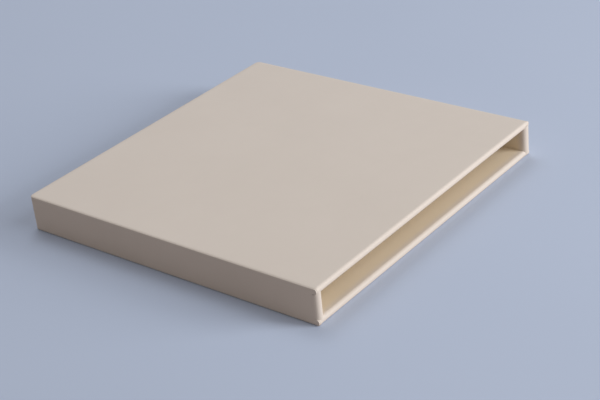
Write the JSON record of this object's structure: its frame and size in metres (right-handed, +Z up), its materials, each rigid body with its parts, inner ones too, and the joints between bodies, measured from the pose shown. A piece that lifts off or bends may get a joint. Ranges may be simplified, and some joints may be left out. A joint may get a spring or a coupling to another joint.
{
  "type": "album slipcase",
  "caption": "Flat square covered-board slipcase, open along one edge, with rounded mouth rims and a bay for one album.",
  "frame": {"origin": "centre of the footprint, on the surface that the case lies on", "axes": "+X along the mouth from the tail wall to the head wall, +Y from the mouth to the spine, +Z up through the broad sides"},
  "size_m": [0.3182, 0.3114, 0.033],
  "materials": {
    "covering": "matt coated leather-look sheet, fine close grain",
    "lining_paper": "matt paper",
    "infill_paper": "matt paper",
    "board": "grey millboard"
  },
  "bodies": {
    "root": {"lower_panel": "board", "upper_panel": "board", "head_wall": "board", "tail_wall": "board", "spine_wall": "board", "wall_cover": "covering", "lower_cover": "covering", "upper_cover": "covering", "lower_infill": "infill_paper", "upper_infill": "infill_paper", "lower_lining": "lining_paper", "upper_lining": "lining_paper", "wall_lining": "lining_paper"}
  },
  "joints": []
}
